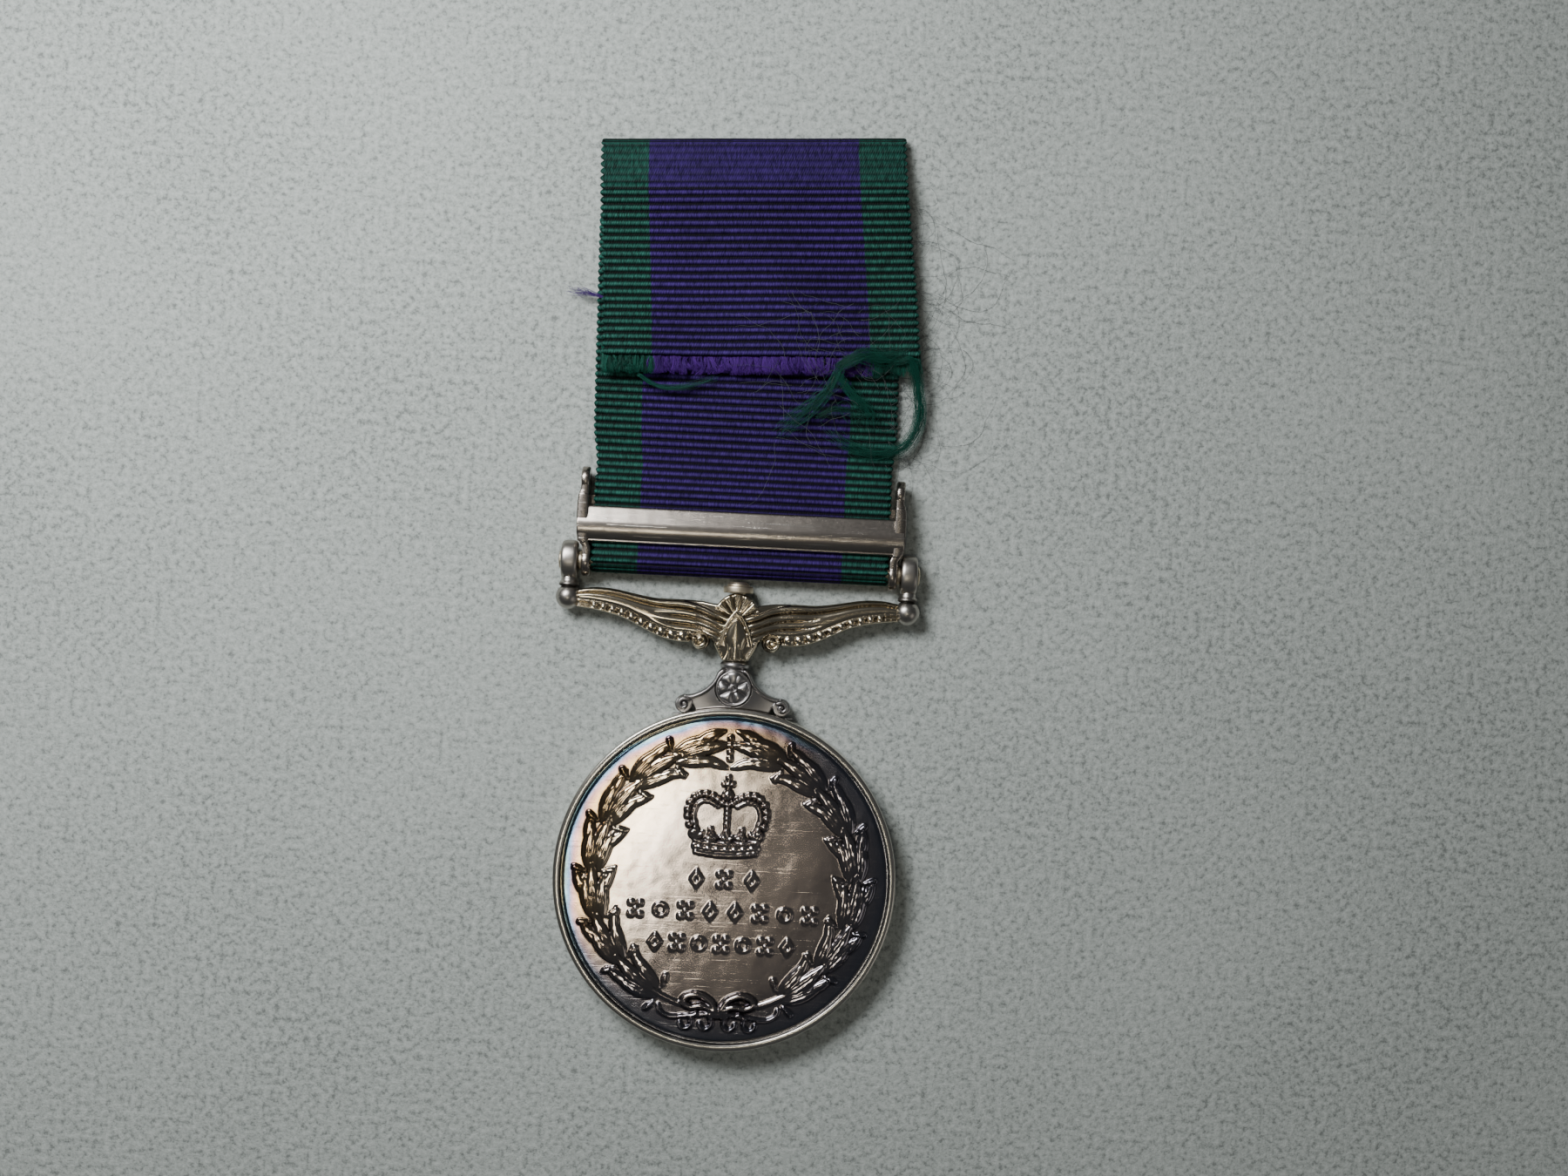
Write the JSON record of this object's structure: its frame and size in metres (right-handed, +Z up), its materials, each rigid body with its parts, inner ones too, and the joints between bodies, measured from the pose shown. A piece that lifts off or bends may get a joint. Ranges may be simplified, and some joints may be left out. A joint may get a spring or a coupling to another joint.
{
  "type": "military service medal",
  "caption": "Round silver campaign medal on a swivelling winged suspender, with a blank clasp and a folded striped ribbon ending in a frayed flap.",
  "frame": {"origin": "centre of the disc's lower face, in the plane that the medal lies on", "axes": "+X across the medal, +Y from the disc towards the ribbon's top fold, +Z up, out of the face with the wreath"},
  "size_m": [0.0384, 0.0964, 0.0033],
  "materials": {
    "struck_silver": "toned, with blue and gold tarnish near the rim",
    "claw_silver": "dark toned",
    "rivet_silver": "worn",
    "suspender_silver": "straw-coloured tarnish",
    "clasp_silver": "brown-grey tarnish, scratched",
    "ribbon_silk": "corded silk, purple with green edges"
  },
  "bodies": {
    "ribbon_and_clasp": {"ribbon": "ribbon_silk", "ribbon_rod": "rivet_silver", "rod_spacer_right": "rivet_silver", "rod_spacer_left": "rivet_silver", "clasp_side_right": "clasp_silver", "clasp_side_left": "clasp_silver", "clasp_front_plate": "clasp_silver", "clasp_back_strap": "clasp_silver"},
    "suspender": {"suspender": "suspender_silver"},
    "medal": {"medal_disc": "struck_silver", "suspender_claw": "claw_silver", "claw_peg": "claw_silver", "swivel_collar": "claw_silver", "swivel_post": "rivet_silver", "swivel_washer": "rivet_silver"}
  },
  "joints": [
    {"name": "suspender_swing", "type": "hinge", "parent": "ribbon_and_clasp", "child": "suspender", "pos_m": [0, 0.0328, 0.0016], "axis": [1, 0, 0], "range_deg": [-90, 90]},
    {"name": "medal_swivel", "type": "hinge", "parent": "suspender", "child": "medal", "pos_m": [0, 0.0265, 0.0016], "axis": [0, 1, 0], "continuous": true}
  ]
}
